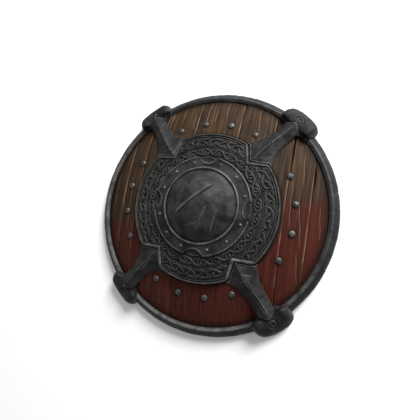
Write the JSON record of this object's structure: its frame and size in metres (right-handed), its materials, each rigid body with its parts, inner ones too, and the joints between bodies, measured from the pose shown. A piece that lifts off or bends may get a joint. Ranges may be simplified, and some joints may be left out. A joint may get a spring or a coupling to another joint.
{
  "type": "round wooden shield",
  "caption": "Domed round plank shield with an iron rim, central plate and hollow boss, four ridged arms lapping over rim clamps, and a grip batten behind.",
  "frame": {"origin": "on the ground under the middle of the boss, the shield lying face up", "axes": "+Z out of the face, +Y along the boards (up when the shield is carried), +X to the right as the face is seen"},
  "size_m": [0.61, 0.61, 0.1265],
  "materials": {
    "boards": "weathered oil-stained planks, the lower half painted dark red and worn",
    "dark_iron": "blackened forged iron, satin, with rubbed edges",
    "rivets": "hammered, rubbed bright on top",
    "grip": "hand-rubbed ash, darker where the hand holds it"
  },
  "bodies": {
    "root": {"board_1": "boards", "board_2": "boards", "board_3": "boards", "board_4": "boards", "board_5_upper": "boards", "board_5_lower": "boards", "board_6": "boards", "board_7": "boards", "board_8": "boards", "board_9": "boards", "rim": "dark_iron", "plate": "dark_iron", "boss": "dark_iron", "arm_upper_right": "dark_iron", "arm_upper_left": "dark_iron", "arm_lower_left": "dark_iron", "arm_lower_right": "dark_iron", "clamp_upper_right": "dark_iron", "clamp_upper_left": "dark_iron", "clamp_lower_left": "dark_iron", "clamp_lower_right": "dark_iron", "clamp_rivet_upper_right": "rivets", "clamp_rivet_upper_left": "rivets", "clamp_rivet_lower_left": "rivets", "clamp_rivet_lower_right": "rivets", "grip_batten": "grip", "board_rivet_01": "rivets", "board_rivet_02": "rivets", "board_rivet_03": "rivets", "board_rivet_04": "rivets", "board_rivet_05": "rivets", "board_rivet_06": "rivets", "board_rivet_07": "rivets", "board_rivet_08": "rivets", "board_rivet_09": "rivets", "board_rivet_10": "rivets", "board_rivet_11": "rivets", "board_rivet_12": "rivets", "board_rivet_13": "rivets", "board_rivet_14": "rivets", "board_rivet_15": "rivets", "board_rivet_16": "rivets", "boss_rivet_01": "rivets", "boss_rivet_02": "rivets", "boss_rivet_03": "rivets", "boss_rivet_04": "rivets", "boss_rivet_05": "rivets", "boss_rivet_06": "rivets", "boss_rivet_07": "rivets", "boss_rivet_08": "rivets", "boss_rivet_09": "rivets", "boss_rivet_10": "rivets", "boss_rivet_11": "rivets", "boss_rivet_12": "rivets", "batten_rivet_01": "rivets", "batten_rivet_02": "rivets", "batten_rivet_03": "rivets", "batten_rivet_04": "rivets"}
  },
  "joints": []
}
